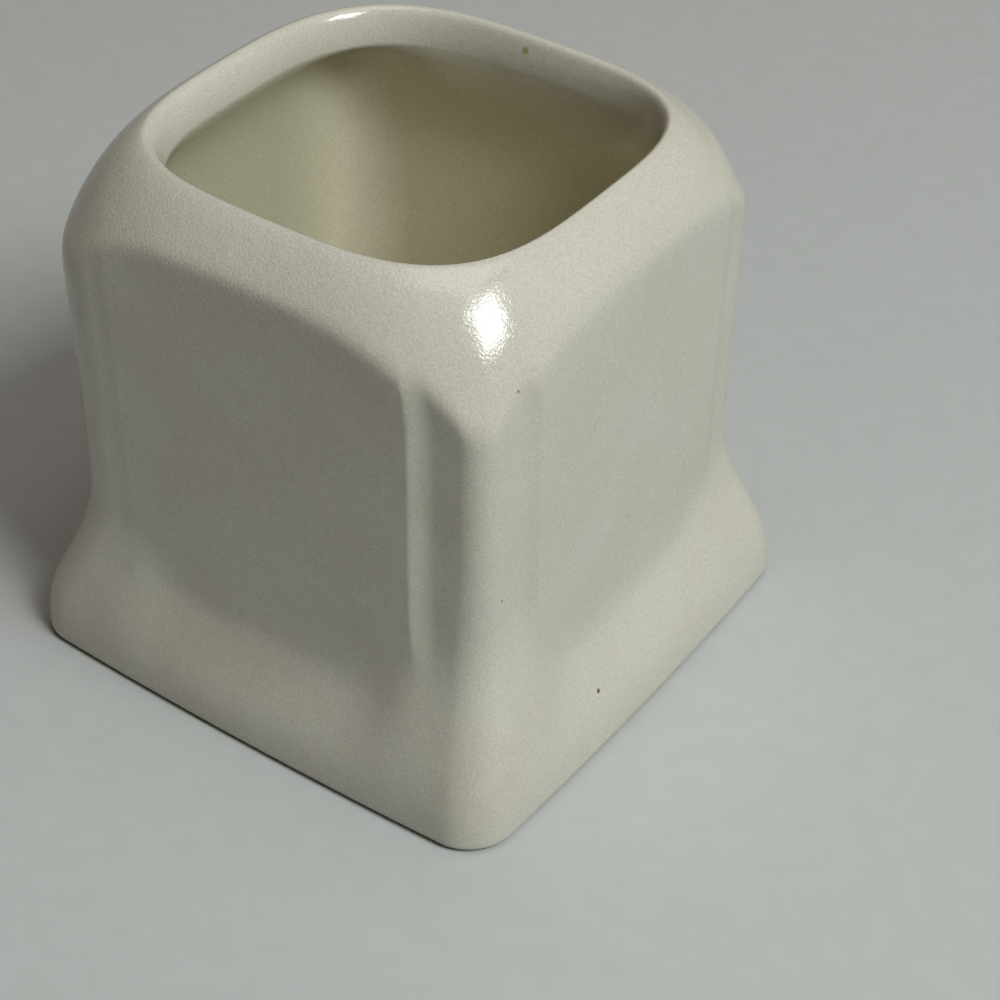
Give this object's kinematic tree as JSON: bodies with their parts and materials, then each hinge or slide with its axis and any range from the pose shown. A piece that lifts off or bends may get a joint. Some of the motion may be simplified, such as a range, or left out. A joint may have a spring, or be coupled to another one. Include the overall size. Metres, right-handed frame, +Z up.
{
  "type": "toothpick holder",
  "caption": "Small square pottery holder in ivory glaze, with raised panels, domed shoulders, a rounded-square mouth and a flared foot. It stands on a table and keeps toothpicks upright.",
  "frame": {"origin": "centre of the resting face under the foot", "axes": "+Z up, along the pot's own axis and out of its mouth; X and Y square to the sides of the foot"},
  "size_m": [0.055, 0.0534, 0.0524],
  "materials": {
    "bare_clay": "fired clay, matt and unglazed on the resting face",
    "ivory_glaze": "glossy warm ivory glaze"
  },
  "bodies": {
    "root": {"clay_body": "bare_clay", "glaze_coat": "ivory_glaze"}
  },
  "joints": []
}
